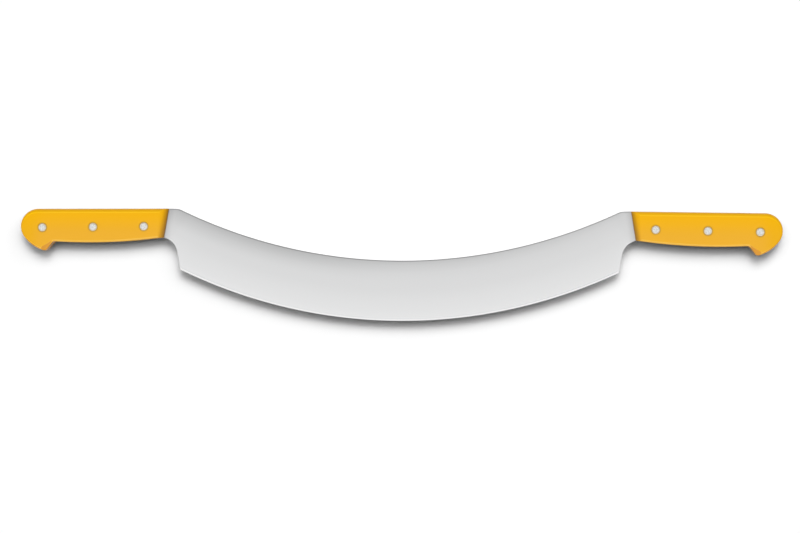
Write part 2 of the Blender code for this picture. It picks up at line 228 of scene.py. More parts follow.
edgeCentre = Vector((0, bladeLow.y + blade["edgeRadius"]))
spineCentre = Vector((0, bladeLow.y + blade["middleWidth"] + blade["spineRadius"]))
frontTop = Vector((blade["edgeChord"] / 2 + blade["heelToScale"], bladeHigh.y))
buttEndX = frontTop.x + handle["length"]
droop = math.radians(handle["droop"])
buttStart = math.pi / 2 - droop  # where the butt's arc leaves the handle's top
frontSlope = math.tan(math.radians(handle["frontSlant"]))


def handleTop(x):
    return frontTop.y - (x - frontTop.x) * math.tan(droop)


def handleBottom(x):
    lowX = frontTop.x + handle["gripLowAt"]
    radius = handle["gripRadius"]
    return handleTop(lowX) - handle["gripHeight"] + radius - math.sqrt(radius**2 - (x - lowX) ** 2)


frontLowX = frontTop.x + frontSlope * (frontTop.y - handleBottom(frontTop.x))
frontLow = Vector((frontLowX, handleBottom(frontLowX)))


def buttArcs():  # centres of the butt's two arcs, and where they meet and end, as turns below level
    upperX, tipX = buttEndX - handle["buttRadius"], buttEndX - handle["hookTipAt"]
    upper = Vector((upperX, handleTop(upperX) - handle["buttRadius"] / math.cos(droop)))
    tip = Vector((tipX, handleBottom(tipX) - handle["hookDepth"]))
    lowRadius = handle["buttLowRadius"]
    apart, toTip = lowRadius - handle["buttRadius"], tip - upper
    spread = math.acos((apart**2 + toTip.length_squared - lowRadius**2) / (2 * apart * toTip.length))
    meeting = spread - math.pi - math.atan2(toTip.y, toTip.x)
    lower = upper - apart * direction(-meeting)
    return upper, lower, meeting, -math.atan2(tip.y - lower.y, tip.x - lower.x)


buttCentre, buttLowCentre, buttMeeting, hookTipTurn = buttArcs()
buttTopPoint = buttCentre + handle["buttRadius"] * direction(buttStart)


def hookPoints(
        inset, tipBack, slope, tipRound, rootRound, lowSteps, hookSteps, gripEnd, gripSteps, crowding=1.0):
    # from where the butt's two arcs meet, down to the hook's tip, up its front and along the grip
    lowRadius, tipTurn = handle["buttLowRadius"] - inset, tipBack - hookTipTurn
    tip = buttLowCentre + lowRadius * direction(tipTurn)
    reach = (handleBottom(tip.x) + inset - tip.y) / math.sin(slope)
    root = tip - reach * direction(-slope)
    root.y = handleBottom(root.x) + inset
    grip = [gripEnd.lerp(root, (1 - i / gripSteps) ** crowding) for i in range(1, gripSteps + 1)]
    for point in grip:
        point.y = handleBottom(point.x) + inset
    tipArc = roundedCorner(tip + direction(tipTurn + math.pi / 2), tip, root, tipRound, hookSteps)
    rootArc = roundedCorner(tip, root, grip[0], rootRound, hookSteps)
    lowEnd = tipTurn + (tipArc[0] - tip).length / lowRadius
    lowArc = arcPoints(buttLowCentre, lowRadius, -buttMeeting, lowEnd, lowSteps)
    return lowArc[1:-1], tipArc, rootArc, grip


# the blade: a grid from lower to upper outline, its rim extruded round to the middle plane, then mirrored

def halfThickness(place):  # of the ground steel, at a place in the outline's plane
    away = place - edgeCentre
    radius, bearing = away.length, abs(math.atan2(away.x, -away.y))
    spine = blade["edgeRadius"] - blade["middleWidth"] - blade["grindOverSpine"]
    foot = blade["edgeRadius"] - blade["bevelWidth"]
    face, low, edge = blade["thickness"] / 2, blade["footThickness"] / 2, blade["edgeThickness"] / 2
    if radius < foot:
        ground = face + (low - face) * (radius - spine) / (foot - spine)
    else:
        ground = low + (edge - low) * min(1.0, (radius - foot) / blade["bevelWidth"])
    corner = frontLow - edgeCentre
    liftEnd = math.atan2(corner.x, -corner.y) - blade["ricasso"] / blade["edgeRadius"]
    lift = max(0.0, (bearing - liftEnd) * blade["edgeRadius"] / blade["runout"] + 1) ** 2
    return min(face, ground + (face + blade["edgeThickness"] - ground) * lift)


def evenly(chain, start, end, steps):  # points evenly spaced between two places of a dense chain
    lengths = [0.0]
    for a, b in zip(chain, chain[1:]):
        lengths.append(lengths[-1] + (b - a).length)

    def along(place):
        return lengths[min(range(len(chain)), key=lambda i: (chain[i] - place).length)]

    first, last = along(start), along(end)
    found, k = [], 0
    for i in range(steps + 1):
        target = first + (last - first) * i / steps
        while k < len(lengths) - 2 and lengths[k + 1] < target:
            k += 1
        span = lengths[k + 1] - lengths[k]
        found.append(chain[k].lerp(chain[k + 1], min(1.0, max(0.0, (target - lengths[k]) / span))))
    return found


def onTop(x):
    return Vector((x, handleTop(x)))


def lowerChain():  # edge, heel, neck, grip and hook, and how many points there are up to each stage
    edgeEnd = math.asin(blade["edgeChord"] / 2 / blade["edgeRadius"]) - math.pi / 2
    edge = arcPoints(edgeCentre, blade["edgeRadius"], -math.pi / 2, edgeEnd, blade["edgeSteps"])
    heel = edge[-1]
    upHeel = direction(math.pi / 2 - math.radians(blade["heelLean"]))
    alongNeck = direction(math.radians(blade["neckSlope"]))
    neck = heel + upHeel * (frontLow - heel).cross(alongNeck) / upHeel.cross(alongNeck)
    neckArc = roundedCorner(heel, neck, frontLow, blade["neckRound"], blade["neckSteps"])
    heelArc = roundedCorner(edge[-2], heel, neck, blade["heelRound"], blade["heelSteps"])
    heelLine = linePoints(heelArc[-1], neckArc[0], blade["heelLineSteps"])
    lowArc, tipArc, rootArc, grip = hookPoints(
        0, 0, math.radians(handle["hookSlope"]), handle["hookTipRound"], handle["hookRootRound"],
        blade["buttSteps"], blade["hookSteps"], frontLow, blade["gripSteps"])
    buttFoot = math.radians(blade["buttSpan"][0])
    buttArc = arcPoints(buttCentre, handle["buttRadius"], -buttMeeting, buttFoot, blade["buttUpSteps"])
    hook = rootArc[::-1] + tipArc[::-1] + lowArc[::-1] + buttArc
    lower = edge[:-1] + heelArc + heelLine[1:] + neckArc[1:] + [frontLow] + grip[-2::-1] + hook
    stages = (lower.index(frontLow), lower.index(rootArc[-1]), lower.index(tipArc[0]), len(lower) - 1)
    return edge, lower, stages


def bladeChains():  # lower and upper outline, paired point for point from middle to butt, and the butt's end
    edge, lower, stages = lowerChain()
    shoulder = Vector((frontTop.x - blade["shoulderToScale"], frontTop.y - blade["shoulderRound"]))
    spineEnd = math.atan2(shoulder.y - spineCentre.y, shoulder.x)
    buttFoot, buttTop = [math.radians(angle) for angle in blade["buttSpan"]]
    spineSteps, shoulderSteps, neckSteps, topSteps, buttSteps = blade["denseSteps"]
    chain = arcPoints(spineCentre, blade["spineRadius"], -math.pi / 2, spineEnd, spineSteps)
    chain += arcPoints(shoulder, blade["shoulderRound"], spineEnd + math.pi, math.pi / 2, shoulderSteps)[1:]
    chain += linePoints(chain[-1], frontTop, neckSteps)[1:]
    chain += linePoints(frontTop, buttTopPoint, topSteps)[1:]
    chain += arcPoints(buttCentre, handle["buttRadius"], buttStart, buttTop, buttSteps)[1:]

    apart = spineCentre.y - edgeCentre.y
    upper = []
    for point in edge:  # the spine straight across from each point of the edge
        across = (point - edgeCentre).normalized()
        reach = math.sqrt(blade["spineRadius"] ** 2 - (apart * across.x) ** 2) + apart * across.y
        upper.append(edgeCentre + reach * across)
    rootTop, tipTop = onTop(buttEndX - blade["rootPairedAt"]), onTop(buttEndX - blade["tipPairedAt"])
    marks = [upper[-1], onTop(frontLow.x), rootTop, tipTop, chain[-1]]
    firsts = (blade["edgeSteps"],) + stages
    for start, end, first, last in zip(marks, marks[1:], firsts, firsts[1:]):
        upper += evenly(chain, start, end, last - first)[1:]
    end = arcPoints(buttCentre, handle["buttRadius"], buttFoot, buttTop, blade["rows"])
    return lower, upper, end


def easing(place, onSpine):  # how far in the outline's edge is rounded
    pastEdge = (place - edgeCentre).length - blade["edgeRadius"]
    onEdge = eased((pastEdge + blade["edgeFrom"]) / blade["edgeOver"])
    onTang = eased((abs(place.x) - frontTop.x + blade["tangFrom"]) / blade["tangOver"])
    heelY = edgeCentre.y - math.sqrt(blade["edgeRadius"] ** 2 - (blade["edgeChord"] / 2) ** 2)
    onNeck = eased((place.y - heelY) / blade["neckAboveHeel"])
    width = blade["easedHeel"] + (blade["easedNeck"] - blade["easedHeel"]) * onNeck
    if onSpine:
        width = blade["easedSpine"]
    width += (blade["easedTang"] - width) * onTang
    return width + (blade["easedEdge"] - width) * onEdge


def makeBlade():
    lower, upper, end = bladeChains()
    rows, columns = blade["rows"], 2 * (len(lower) - 1)
    lowLine = mirrored(lower[:0:-1]) + lower
    highLine = mirrored(upper[:0:-1]) + upper
    loop = lowLine + end[1:-1] + highLine[::-1] + mirrored(end)[-2:0:-1]  # anticlockwise
    topStart = len(lowLine) + len(end) - 2
    topEnd = topStart + len(highLine)
    inward, widths = [], []
    for i, place in enumerate(loop):
        before, after = (place - loop[i - 1]).normalized(), (loop[(i + 1) % len(loop)] - place).normalized()
        along = (before + after).normalized()
        inward.append(Vector((-along.y, along.x)) / max(blade["sharpestCorner"], along.dot(after)))
        widths.append(easing(place, topStart <= i < topEnd))
    inner = [place + way * width for place, way, width in zip(loop, inward, widths)]
    innerLow = inner[:len(lowLine)]
    innerHigh = inner[topStart:topEnd][::-1]
    innerRight = [innerLow[-1]] + inner[len(lowLine):topStart] + [innerHigh[-1]]
    innerLeft = [innerLow[0]] + inner[topEnd:][::-1] + [innerHigh[0]]

    deselectAll()
    bpy.ops.mesh.primitive_grid_add(x_subdivisions=columns, y_subdivisions=rows, size=1)
    piece = added("ground_blade")
    for vert in piece.data.vertices:
        i, j = round((vert.co.x + 0.5) * columns), round((vert.co.y + 0.5) * rows)
        low, high = innerLow[i], innerHigh[i]
        bevel = min(blade["widestBevel"], (blade["bevelWidth"] - blade["easedEdge"]) / (high - low).length)
        place = low.lerp(high, 0 if j == 0 else bevel + (1 - bevel) * (j - 1) / (rows - 1))
        if i == 0:
            place = innerLeft[j]
        elif i == columns:
            place = innerRight[j]
        vert.co = raised(place, halfThickness(place))

    rings = [[raised(place, halfThickness(place)) for place in inner]]
    for step in range(1, blade["easedSteps"] + 1):
        turn = math.pi / 2 * step / blade["easedSteps"]
        out, down = math.sin(turn), math.cos(turn)
        ring = []
        for place, way, width, start in zip(loop, inward, widths, rings[0]):
            depth = min(blade["easingDepth"] * width, blade["deepestEasing"] * start.z)
            ring.append(raised(place + way * width * (1 - out), start.z - depth * (1 - down)))
        rings.append(ring)
    rings.append([raised(place, 0) for place in loop])
    editMode(piece)
    bpy.ops.mesh.select_mode(type="EDGE")
    bpy.ops.mesh.select_all(action="SELECT")
    bpy.ops.mesh.region_to_loop()
    for old, new in zip(rings, rings[1:]):
        extrudeTo(piece, old, new)
    bpy.ops.mesh.select_mode(type="VERT")
    objectMode()
    applied(
        piece, "MIRROR", use_axis=(False, False, True), use_clip=True, merge_threshold=blade["mirrorMerge"])
    editMode(piece)
    facesOut()

    cutWith(piece, tangHoles())
    piece.location.z = middleZ
    settled(piece)
    smoothed(piece, blade["smoothAngle"])
    sharpenBevel(piece)
    applied(piece, "WEIGHTED_NORMAL", keep_sharp=True)
    fitted(piece, "blade", "blade")
    print("blade made:", len(piece.data.polygons), "faces")


def tangHoles():
    holes = []
    for side in (-1, 1):
        for place in rivetPlaces():
            deselectAll()
            bpy.ops.mesh.primitive_cylinder_add(
                vertices=blade["holeSides"], radius=rivet["sleeveRadius"] + rivet["fitGap"],
                depth=blade["holeDepth"], location=(side * place.x, place.y, 0))
            holes.append(added("tang_hole"))
    return holes


def sharpenBevel(piece):  # the line where the cutting bevel meets the ground face
    line = blade["edgeRadius"] - blade["bevelWidth"]
    near, offMiddle = blade["easedEdge"], blade["footThickness"] / 3
    editMode(piece)
    bpy.ops.mesh.select_all(action="DESELECT")
    mesh = bmesh.from_edit_mesh(piece.data)
    for edge in mesh.edges:
        edge.select = all(
            abs((vert.co.xy - edgeCentre).length - line) < near and abs(vert.co.z - middleZ) > offMiddle
            for vert in edge.verts)
    bmesh.update_edit_mesh(piece.data)
    bpy.ops.mesh.mark_sharp()
    objectMode()


# rivets

rivet = {
    "names": ("inner", "middle", "butt"),
    "firstAt": 0.0221, "lastAt": 0.0203, "depth": 0.0163, "lineDroop": 0.92,
    "headRadius": 0.0037, "headHeight": 0.0018, "headTaper": 0.0006, "recess": 0.00005,
    "headChamfer": 0.0002, "chamferBreak": 0.3,  # the share of the chamfer where it bends
    "dome": 0.00006, "domeRings": (0.1, 0.3, 0.5, 0.7, 0.85, 0.95, 1.0),
    "sleeveRadius": 0.0025, "sleeveBore": 0.0019, "sleeveFloor": 0.0030,
    "pinEndChamfer": 0.0004, "pinEndRoom": 0.0008, "fitGap": 0.00025, "seatGap": 0.0003, "sides": 64,
    "smoothAngle": 30,
}


def rivetPlaces():
    x = frontTop.x + rivet["firstAt"]
    first = Vector((x, handleTop(x) - rivet["depth"]))
    run = handle["length"] - rivet["firstAt"] - rivet["lastAt"]
    last = first + Vector((run, -run * math.tan(math.radians(rivet["lineDroop"]))))
    return linePoints(first, last, len(rivet["names"]) - 1)


def turned(name, profile):  # a filled circle extruded down its profile of radius and height
    sides = rivet["sides"]
    rings = []
    for radius, z in profile:
        rings.append([raised(radius * direction(math.tau * i / sides), z) for i in range(sides)])
    return drawnUp(name, rings)


def headProfile():
    radius, chamfer, dome = rivet["headRadius"], rivet["headChamfer"], rivet["dome"]
    flat, bend = radius - chamfer, rivet["chamferBreak"] * chamfer
    profile = [(flat * share, -dome * share * share) for share in rivet["domeRings"]]
    profile += [(radius - bend, -dome - bend), (radius, -dome - chamfer)]
    return profile + [(radius, -rivet["headHeight"])]


def makeRivets():
    headZ = scaleSeat + scale["thickness"] - rivet["recess"] - middleZ
    pinLength = 2 * headZ - rivet["sleeveFloor"] - rivet["pinEndRoom"]
    sleeveLength = 2 * headZ - rivet["headHeight"] - rivet["seatGap"]
    pinRadius = rivet["sleeveBore"] - rivet["fitGap"]
    pin = turned("rivet_pin", headProfile() + [
        (pinRadius, -rivet["headHeight"]),
        (pinRadius, rivet["pinEndChamfer"] - pinLength),
        (pinRadius - rivet["pinEndChamfer"], -pinLength)])
    sleeve = turned("rivet_sleeve", headProfile() + [
        (rivet["sleeveRadius"], -rivet["headHeight"] - rivet["headTaper"]),
        (rivet["sleeveRadius"], -sleeveLength),
        (rivet["sleeveBore"], -sleeveLength),
        (rivet["sleeveBore"], -rivet["sleeveFloor"])])
    for side, hand in ((-1, "left"), (1, "right")):
        for place, position in zip(rivetPlaces(), rivet["names"]):
            for part, kind, facing in ((pin, "pin", 1), (sleeve, "sleeve", -1)):
                turn = (0, 0 if facing > 0 else math.pi, 0)
                spot = (side * place.x, place.y, middleZ + facing * headZ)
                piece = copied(part, f"{hand}_{position}_{kind}", turn=turn, place=spot)
                smoothed(piece, rivet["smoothAngle"])
                fitted(piece, f"{hand}_{position}_rivet_{kind}", "rivet")
    for part in (pin, sleeve):
        bpy.data.objects.remove(part)
    print("rivets made")


# the grip scales: the outline drawn up from the seat, over the rim and on to the crowned face

scale = {
    "thickness": 0.0075, "seatRoom": 0.00002, "crown": 0.00018, "seatChamfer": 0.00012,
    "topRim": (0.0044, 0.0040), "lowRim": (0.0020, 0.0020),  # width and drop
    "frontRimTop": 0.0078, "frontRimLow": 0.0048, "frontDrop": 0.0064, "frontFlatness": 0.35,
    "facetPitch": 0.72, "facetSlope": 36.0, "facetBack": 7.8,
    "facetTipRound": 0.0014, "facetRootRound": 0.0060,
    "boreGap": 0.0001, "boreFlare": 0.0003, "boreFlareDepth": 0.0003, "borePast": 0.002,
    "rimSteps": 14, "buttSteps": 36, "lowSteps": 20, "hookSteps": 10,
    "gripSteps": 44, "topSteps": 34, "frontSteps": 24,
    "crowding": 1.7,  # the points stand closer together near the front corners
    "crownStart": 0.022, "crownRings": (0.10, 0.25, 0.45, 0.65, 0.85), "sliceEvery": 0.004, "smoothAngle": 34,
}
scaleSeat = middleZ + blade["thickness"] / 2 + rivet["seatGap"]


def rolled(rest):  # a rim's drop where this share of its width is left to its inner border
    rest = min(1.0, max(0.0, rest))
    return 1 - math.sqrt(1 - rest * rest)


def faceCorners():  # of the flat face's front end
    x = frontLow.x + scale["frontRimLow"]
    low = Vector((x, handleBottom(x) + scale["lowRim"][0]))
    return low, onTop(frontTop.x + scale["frontRimTop"]) - Vector((0, scale["topRim"][0]))


def frontDrop(place):  # of the ground front end
    low, top = faceCorners()
    borderX = low.x + (top.x - low.x) * (place.y - low.y) / (top.y - low.y)
    frontX = frontLow.x + (frontTop.x - frontLow.x) * (place.y - frontLow.y) / (frontTop.y - frontLow.y)
    rest = min(1.0, max(0.0, (borderX - place.x) / (borderX - frontX)))
    return scale["frontDrop"] * (rolled(rest) + (rest - rolled(rest)) * scale["frontFlatness"])


def sideDrop(place):  # of the rolled rims above and below
    (topWidth, topDrop), (lowWidth, lowDrop) = scale["topRim"], scale["lowRim"]
    above = topDrop * rolled(1 - (handleTop(place.x) - place.y) / topWidth)
    return max(above, lowDrop * rolled(1 - (place.y - handleBottom(place.x)) / lowWidth))


def facetDrop(place, border):  # of the facet cut on the hook's front, beyond its inner border
    slope = math.radians(scale["facetSlope"])
    return scale["facetPitch"] * max(0.0, (border - place).dot(Vector((math.sin(slope), math.cos(slope)))))


def scaleStations():
    # round the outline: each point, the face's point beside it, its rim's drop and its share of the facet
    (topWidth, topDrop), (lowWidth, lowDrop) = scale["topRim"], scale["lowRim"]
    faceLow, faceTop = faceCorners()
    stations = []
    for i in range(scale["frontSteps"]):  # up the front end
        t = eased(i / scale["frontSteps"])
        stations.append((frontLow.lerp(frontTop, t), faceLow.lerp(faceTop, t), 0.0, 0.0))
    faceEnd = buttTopPoint + (buttCentre - buttTopPoint).normalized() * topWidth
    for i in range(scale["topSteps"]):  # along the top
        t = (i / scale["topSteps"]) ** scale["crowding"]
        stations.append((frontTop.lerp(buttTopPoint, t), faceTop.lerp(faceEnd, t), topDrop, 0.0))
    butt = arcPoints(buttCentre, handle["buttRadius"], buttStart, -buttMeeting, scale["buttSteps"])
    for i, point in enumerate(butt):
        t = eased(i / scale["buttSteps"])
        face = point + (buttCentre - point).normalized() * (topWidth + (lowWidth - topWidth) * t)
        stations.append((point, face, topDrop + (lowDrop - topDrop) * t, 0.0))
    outer = hookPoints(
        0, 0, math.radians(handle["hookSlope"]), handle["hookTipRound"], handle["hookRootRound"],
        scale["lowSteps"], scale["hookSteps"], frontLow, scale["gripSteps"], scale["crowding"])
    inner = hookPoints(
        lowWidth, math.radians(scale["facetBack"]), math.radians(scale["facetSlope"]),
        scale["facetTipRound"], scale["facetRootRound"],
        scale["lowSteps"], scale["hookSteps"], faceLow, scale["gripSteps"], scale["crowding"])
    for place, face in zip(outer[0], inner[0]):
        stations.append((place, face, lowDrop, 1.0))
    for i, (place, face) in enumerate(zip(outer[1], inner[1])):  # round the hook's tip
        stations.append((place, face, lowDrop * (1 - eased(i / scale["hookSteps"])), 1.0))
    for i, (place, face) in enumerate(zip(outer[2], inner[2])):  # and round its root
        t = eased(i / scale["hookSteps"])
        stations.append((place, face, lowDrop * t, 1 - t))
    for place, face in list(zip(outer[3], inner[3]))[:-1]:
        stations.append((place, face, lowDrop, 0.0))
    return stations, inner[1][-1]


def scaleRings(stations, border):
    count = len(stations)
    thick, crown = scale["thickness"], scale["crown"]
    seat = scale["seatRoom"] - rivet["seatGap"]
    inset = []
    for i, (place, *_) in enumerate(stations):
        along = (stations[(i + 1) % count][0] - stations[i - 1][0]).normalized()
        inset.append(place + Vector((along.y, -along.x)) * scale["seatChamfer"])
    rings = [[raised(place, seat) for place in inset]]
    rings.append([raised(place, seat + scale["seatChamfer"]) for place, *_ in stations])
    for step in range(scale["rimSteps"] + 1):
        left = math.cos(math.pi / 2 * step / scale["rimSteps"])  # the share of the rim still ahead
        ring = []
        for i, (place, face, rimDrop, facet) in enumerate(stations):
            point = place.lerp(face, 1 - left)
            drop = sideDrop(point) if i < scale["frontSteps"] else rimDrop * rolled(left)
            cut = facet * (facetDrop(point, border) - facetDrop(face, border))
            ring.append(raised(point, thick - crown - max(drop, frontDrop(point), cut)))
        rings.append(ring)
    start = Vector((frontTop.x + scale["crownStart"], buttCentre.y))
    along = buttCentre - start
    for share in scale["crownRings"]:
        ring = []
        for _, face, *_ in stations:
            t = min(1.0, max(0.0, (face - start).dot(along) / along.length_squared))
            ring.append(raised(face.lerp(start + along * t, share), thick - crown * (1 - share) ** 2))
        rings.append(ring)
    return rings


def sliceAcross(piece):  # so that no long thin face runs from one bore to the next
    clear = rivet["headRadius"] + scale["sliceEvery"] / 2
    editMode(piece)
    for i in range(1, int(handle["length"] / scale["sliceEvery"])):
        x = frontTop.x + i * scale["sliceEvery"]
        if frontLow.x < x < buttCentre.x and all(abs(x - place.x) > clear for place in rivetPlaces()):
            bpy.ops.mesh.select_all(action="SELECT")
            bpy.ops.mesh.bisect(plane_co=(x, 0, 0), plane_no=(1, 0, 0))
    facesOut()


def makeScales():
    body = drawnUp("scale_body", scaleRings(*scaleStations()))
    top = scale["thickness"]
    pocket = top - rivet["recess"] - rivet["headHeight"] - rivet["seatGap"]
    headBore, sleeveBore = rivet["headRadius"] + scale["boreGap"], rivet["sleeveRadius"] + rivet["fitGap"]
    mouth = headBore + scale["boreFlare"]
    bore = turned("rivet_bore", [
        (mouth, top + scale["borePast"]), (mouth, top), (headBore, top - scale["boreFlareDepth"]),
        (headBore, pocket), (sleeveBore, pocket - rivet["headTaper"]), (sleeveBore, -scale["borePast"])])
    cutWith(body, [copied(bore, "scale_bore", place=(place.x, place.y, 0)) for place in rivetPlaces()])
    bpy.data.objects.remove(bore)
    sliceAcross(body)
    body.data.shade_smooth()
    for side, hand in ((-1, "left"), (1, "right")):
        for facing, name in ((1, "front"), (-1, "back")):
            seat = (0, 0, middleZ + facing * (scaleSeat - middleZ))
            turn = (0, 0 if facing > 0 else math.pi, 0)
            piece = copied(body, f"{hand}_{name}_grip", turn=turn, mirror=side * facing, place=seat)
            smoothed(piece, scale["smoothAngle"])
            applied(piece, "WEIGHTED_NORMAL", keep_sharp=True)
            fitted(piece, f"{hand}_{name}_scale", "scale")
            piece.visible_diffuse = False  # the floor takes no yellow from the handles
    print("scales made:", len(body.data.polygons), "faces each")
    bpy.data.objects.remove(body)


# shader maths

class Wire:  # one socket of a node tree, so that sums on it add Math nodes
    def __init__(self, tree, socket=None):
        self.tree, self.socket = tree, socket

    def node(self, kind, settings=None, inputs=None, output=0):
        made = self.tree.nodes.new("ShaderNode" + kind)
        for name, value in (settings or {}).items():
            if name == "stops":
                setStops(made.color_ramp, value)
            else:
                setattr(made, name, value)
        for name, value in (inputs or {}).items():
            if isinstance(value, Wire):
                self.tree.links.new(value.socket, made.inputs[name])
            else:
                made.inputs[name].default_value = value
        return Wire(self.tree, made.outputs[output] if made.outputs else None)

    def maths(self, operation, first, second=0.0):
        return self.node("Math", {"operation": operation}, {0: first, 1: second})

    def __add__(self, other):
        return self.maths("ADD", self, other)

    def __sub__(self, other):
        return self.maths("SUBTRACT", self, other)

    def __rsub__(self, other):
        return self.maths("SUBTRACT", other, self)

    def __mul__(self, other):
        return self.maths("MULTIPLY", self, other)

    def __pow__(self, other):
        return self.maths("POWER", self, other)

    __radd__ = __add__
    __rmul__ = __mul__

    def size(self):
        return self.maths("ABSOLUTE", self)

    def ramp(self, low, high, kind="SMOOTHSTEP"):  # 0 at low, 1 at high
        return self.node("MapRange", {"interpolation_type": kind}, {0: self, 1: low, 2: high})

    def stops(self, places):  # a grey that changes along the stops
        stops = [(place, grey(tone)) for place, tone in places]
        return self.node("ValToRGB", {"stops": stops}, {0: self})

    def blend(self, low, high):  # a colour: low where this is 0, high where it is 1
        return self.node("Mix", {"data_type": "RGBA"}, {0: self, 6: low, 7: high}, output=2)

    def tinted(self, other):  # this colour times another
        settings = {"data_type": "RGBA", "blend_type": "MULTIPLY"}
        return self.node("Mix", settings, {0: 1.0, 6: self, 7: other}, output=2)

    def tintedWhere(self, mask, tone):  # this colour, times the tone where the mask is 1
        return self.tinted(mask.blend(grey(1.0), tone))

    def parts(self):
        split = self.node("SeparateXYZ", None, {0: self})
        return [Wire(self.tree, socket) for socket in split.socket.node.outputs]

    def joined(self, x, y, z):
        return self.node("CombineXYZ", None, {0: x, 1: y, 2: z})

    def noise(self, scale, detail=2.0, roughness=0.5):
        inputs = {"Vector": self, "Scale": scale, "Detail": detail, "Roughness": roughness}
        return self.node("TexNoise", None, inputs)

    def bump(self, depth):  # depth in metres
        return self.node("Bump", None, {"Height": self, "Distance": depth})


def setStops(ramp, stops):
    ramp.elements[0].position, ramp.elements[0].color = stops[0]
    ramp.elements[1].position, ramp.elements[1].color = stops[-1]
    for place, colour in stops[1:-1]:
        ramp.elements.new(place).color = colour


def grey(value):
    return (value, value, value, 1)


def startMaterial(name):
    made = bpy.data.materials.new(name)
    made.use_nodes = True
    made.node_tree.nodes.clear()
    wire = Wire(made.node_tree)
    return made, wire, wire.node("TexCoord", output=3)  # Object coordinates, in metres


def endMaterial(wire, inputs):
    shader = wire.node("BsdfPrincipled", None, inputs)
    wire.node("OutputMaterial", None, {"Surface": shader})


def behindFront(x, y):  # distance behind the scale's slanted front end, level
    return x.size() - frontTop.x - (frontTop.y - y) * frontSlope


def fromRivet(wire, x, y):  # distance from the nearest rivet's centre
    nearest = None
    for place in rivetPlaces():
        across, up = x.size() - place.x, y - place.y
        gap = (across * across + up * up) ** 0.5
        nearest = wire.maths("MINIMUM", nearest, gap) if nearest else gap
    return nearest


# satin ground steel

steelLook = {
    "tone": (0.994, 0.997, 1.0, 1),
    "acrossBlade": [  # the steel's greys from the spine to the cutting edge, with painted shade: darker towards the spine, lighter towards the edge
        (0.0, 0.625), (0.03, 0.66), (0.08, 0.705), (0.21, 0.765), (0.50, 0.785), (0.68, 0.82), (0.85, 0.845),
        (0.975, 0.875), (0.982, 0.82), (1.0, 0.82)],
    "spineShade": (0.020, 0.19, 0.05),  # reach of the shade below the spine, and its depth left and right
    "shadeSpan": (-0.12, 0.02),  # where it goes from the left depth to the right one
    "spineLine": (0.0011, 0.28),  # reach and depth of the painted shade in a dark line along the spine's edge
    "scaleShade": (0.007, 0.16),  # reach and depth of the painted shade in a band in front of each scale
    "linesPerMetre": 3200, "lineLength": 0.020, "lineHeight": 0.005, "lineDepth": 1.2e-6, "lineTone": 0.03,
    "lineDetail": 3.0, "lineContrast": 0.6,
    "roughness": (0.29, 0.37), "bevelRoughness": 0.2, "bevelBlur": 0.0001,
}


def makeSteel():
    made, wire, place = startMaterial("satinSteel")
    x, y, z = place.parts()
    down, above = edgeCentre.y - y, spineCentre.y - y
    radius = (x * x + down * down) ** 0.5
    arc = wire.maths("ARCTAN2", x, down) * blade["edgeRadius"]
    share = radius.ramp(blade["edgeRadius"] - blade["middleWidth"], blade["edgeRadius"], "LINEAR")

    grain = wire.joined(
        arc * steelLook["linesPerMetre"], radius * (1 / steelLook["lineLength"]),
        z * (1 / steelLook["lineHeight"]))
    lines = grain.noise(1.0, steelLook["lineDetail"], steelLook["lineContrast"])

    reach, leftDepth, rightDepth = steelLook["spineShade"]
    fromSpine = (x * x + above * above) ** 0.5 - blade["spineRadius"]
    side = x.ramp(*steelLook["shadeSpan"])
    shade = 1 - (leftDepth + (rightDepth - leftDepth) * side) * (1 - fromSpine.ramp(0.0, reach))
    # painted shade: a dark line along the spine's edge
    reach, depth = steelLook["spineLine"]
    shade = shade * (1 - depth * (1 - fromSpine.ramp(0.0, reach)))
    # painted shade in a band on the steel in front of each scale
    reach, depth = steelLook["scaleShade"]
    shade = shade * (1 - depth * behindFront(x, y).ramp(-reach, 0.0))
    tone = shade * (1 + steelLook["lineTone"] * (lines - 0.5))
    # the greys across the blade carry painted shade, darker towards the spine and lighter towards the edge
    colour = share.stops(steelLook["acrossBlade"]).tinted(steelLook["tone"]).tinted(tone)

    foot, blur = blade["edgeRadius"] - blade["bevelWidth"], steelLook["bevelBlur"]
    heelX = blade["edgeChord"] / 2
    onBevel = radius.ramp(foot - blur, foot + blur) * (1 - x.size().ramp(heelX, heelX + blade["bevelWidth"]))
    smooth, rough = steelLook["roughness"]
    roughness = smooth + (rough - smooth) * lines
    roughness = roughness + (steelLook["bevelRoughness"] - roughness) * onBevel
    endMaterial(wire, {
        "Base Color": colour, "Metallic": 1.0, "Roughness": roughness,
        "Normal": lines.bump(steelLook["lineDepth"])})
    return made


# moulded yellow plastic

